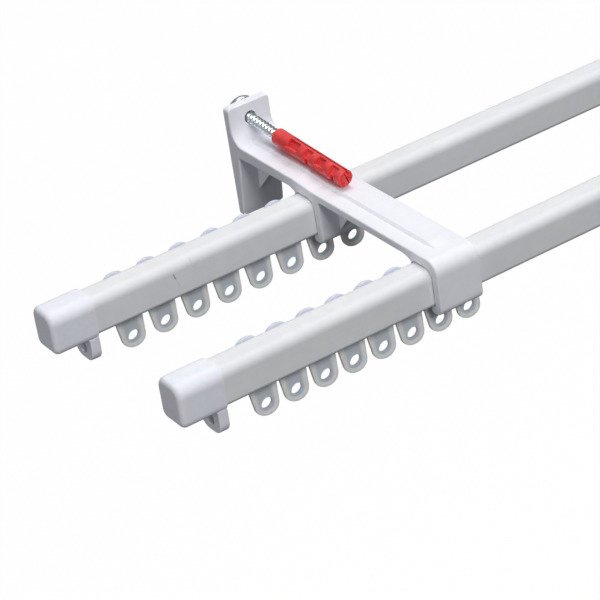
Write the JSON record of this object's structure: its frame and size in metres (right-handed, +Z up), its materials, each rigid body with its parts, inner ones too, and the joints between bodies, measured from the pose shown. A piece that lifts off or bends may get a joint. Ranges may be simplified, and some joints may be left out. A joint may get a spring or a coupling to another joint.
{
  "type": "double curtain track",
  "caption": "Double curtain track: slotted rails with end caps, hung from cast wall brackets, with sliding eye gliders.",
  "frame": {"origin": "centre of the bare bracket's screw hole on the wall plane", "axes": "+X along the rails, -Y from the wall into the room, +Z up"},
  "size_m": [0.5163, 0.168, 0.0603],
  "materials": {
    "rail_coating": "satin white coating on extruded aluminium",
    "bracket_coating": "satin white coating on a casting",
    "cap_plastic": "moulded white plastic",
    "glider_plastic": "milky translucent nylon",
    "zinc": "bright zinc plating",
    "plug_plastic": "red nylon"
  },
  "bodies": {
    "root": {"rail_rear": "rail_coating", "cap_rear_left": "cap_plastic", "cap_rear_right": "cap_plastic", "rail_front": "rail_coating", "cap_front_left": "cap_plastic", "cap_front_right": "cap_plastic", "bracket_left": "bracket_coating", "bracket_right": "bracket_coating", "wall_screw": "zinc", "wall_plug": "plug_plastic"},
    "glider_rear_1": {"glider_rear_1": "glider_plastic"},
    "glider_rear_2": {"glider_rear_2": "glider_plastic"},
    "glider_rear_3": {"glider_rear_3": "glider_plastic"},
    "glider_rear_4": {"glider_rear_4": "glider_plastic"},
    "glider_rear_5": {"glider_rear_5": "glider_plastic"},
    "glider_rear_6": {"glider_rear_6": "glider_plastic"},
    "glider_rear_7": {"glider_rear_7": "glider_plastic"},
    "glider_rear_8": {"glider_rear_8": "glider_plastic"},
    "glider_front_1": {"glider_front_1": "glider_plastic"},
    "glider_front_2": {"glider_front_2": "glider_plastic"},
    "glider_front_3": {"glider_front_3": "glider_plastic"},
    "glider_front_4": {"glider_front_4": "glider_plastic"},
    "glider_front_5": {"glider_front_5": "glider_plastic"},
    "glider_front_6": {"glider_front_6": "glider_plastic"},
    "glider_front_7": {"glider_front_7": "glider_plastic"},
    "glider_front_8": {"glider_front_8": "glider_plastic"}
  },
  "joints": [
    {"name": "slide_rear_1", "type": "slide", "parent": "root", "child": "glider_rear_1", "axis": [1, 0, 0], "range_m": [-0.0118, 0.0398]},
    {"name": "slide_rear_2", "type": "slide", "parent": "glider_rear_1", "child": "glider_rear_2", "axis": [1, 0, 0], "range_m": [-0.00215, 0.0398]},
    {"name": "slide_rear_3", "type": "slide", "parent": "glider_rear_2", "child": "glider_rear_3", "axis": [1, 0, 0], "range_m": [-0.00215, 0.0398]},
    {"name": "slide_rear_4", "type": "slide", "parent": "glider_rear_3", "child": "glider_rear_4", "axis": [1, 0, 0], "range_m": [-0.00215, 0.0398]},
    {"name": "slide_rear_5", "type": "slide", "parent": "glider_rear_4", "child": "glider_rear_5", "axis": [1, 0, 0], "range_m": [-0.00215, 0.0398]},
    {"name": "slide_rear_6", "type": "slide", "parent": "glider_rear_5", "child": "glider_rear_6", "axis": [1, 0, 0], "range_m": [-0.00215, 0.0398]},
    {"name": "slide_rear_7", "type": "slide", "parent": "glider_rear_6", "child": "glider_rear_7", "axis": [1, 0, 0], "range_m": [-0.00215, 0.0398]},
    {"name": "slide_rear_8", "type": "slide", "parent": "glider_rear_7", "child": "glider_rear_8", "axis": [1, 0, 0], "range_m": [-0.00215, 0.0398]},
    {"name": "slide_front_1", "type": "slide", "parent": "root", "child": "glider_front_1", "axis": [1, 0, 0], "range_m": [-0.0143, 0.0411]},
    {"name": "slide_front_2", "type": "slide", "parent": "glider_front_1", "child": "glider_front_2", "axis": [1, 0, 0], "range_m": [-0.00029, 0.0411]},
    {"name": "slide_front_3", "type": "slide", "parent": "glider_front_2", "child": "glider_front_3", "axis": [1, 0, 0], "range_m": [-0.00029, 0.0411]},
    {"name": "slide_front_4", "type": "slide", "parent": "glider_front_3", "child": "glider_front_4", "axis": [1, 0, 0], "range_m": [-0.00029, 0.0411]},
    {"name": "slide_front_5", "type": "slide", "parent": "glider_front_4", "child": "glider_front_5", "axis": [1, 0, 0], "range_m": [-0.00029, 0.0411]},
    {"name": "slide_front_6", "type": "slide", "parent": "glider_front_5", "child": "glider_front_6", "axis": [1, 0, 0], "range_m": [-0.00029, 0.0411]},
    {"name": "slide_front_7", "type": "slide", "parent": "glider_front_6", "child": "glider_front_7", "axis": [1, 0, 0], "range_m": [-0.00029, 0.0411]},
    {"name": "slide_front_8", "type": "slide", "parent": "glider_front_7", "child": "glider_front_8", "axis": [1, 0, 0], "range_m": [-0.00029, 0.0411]}
  ]
}
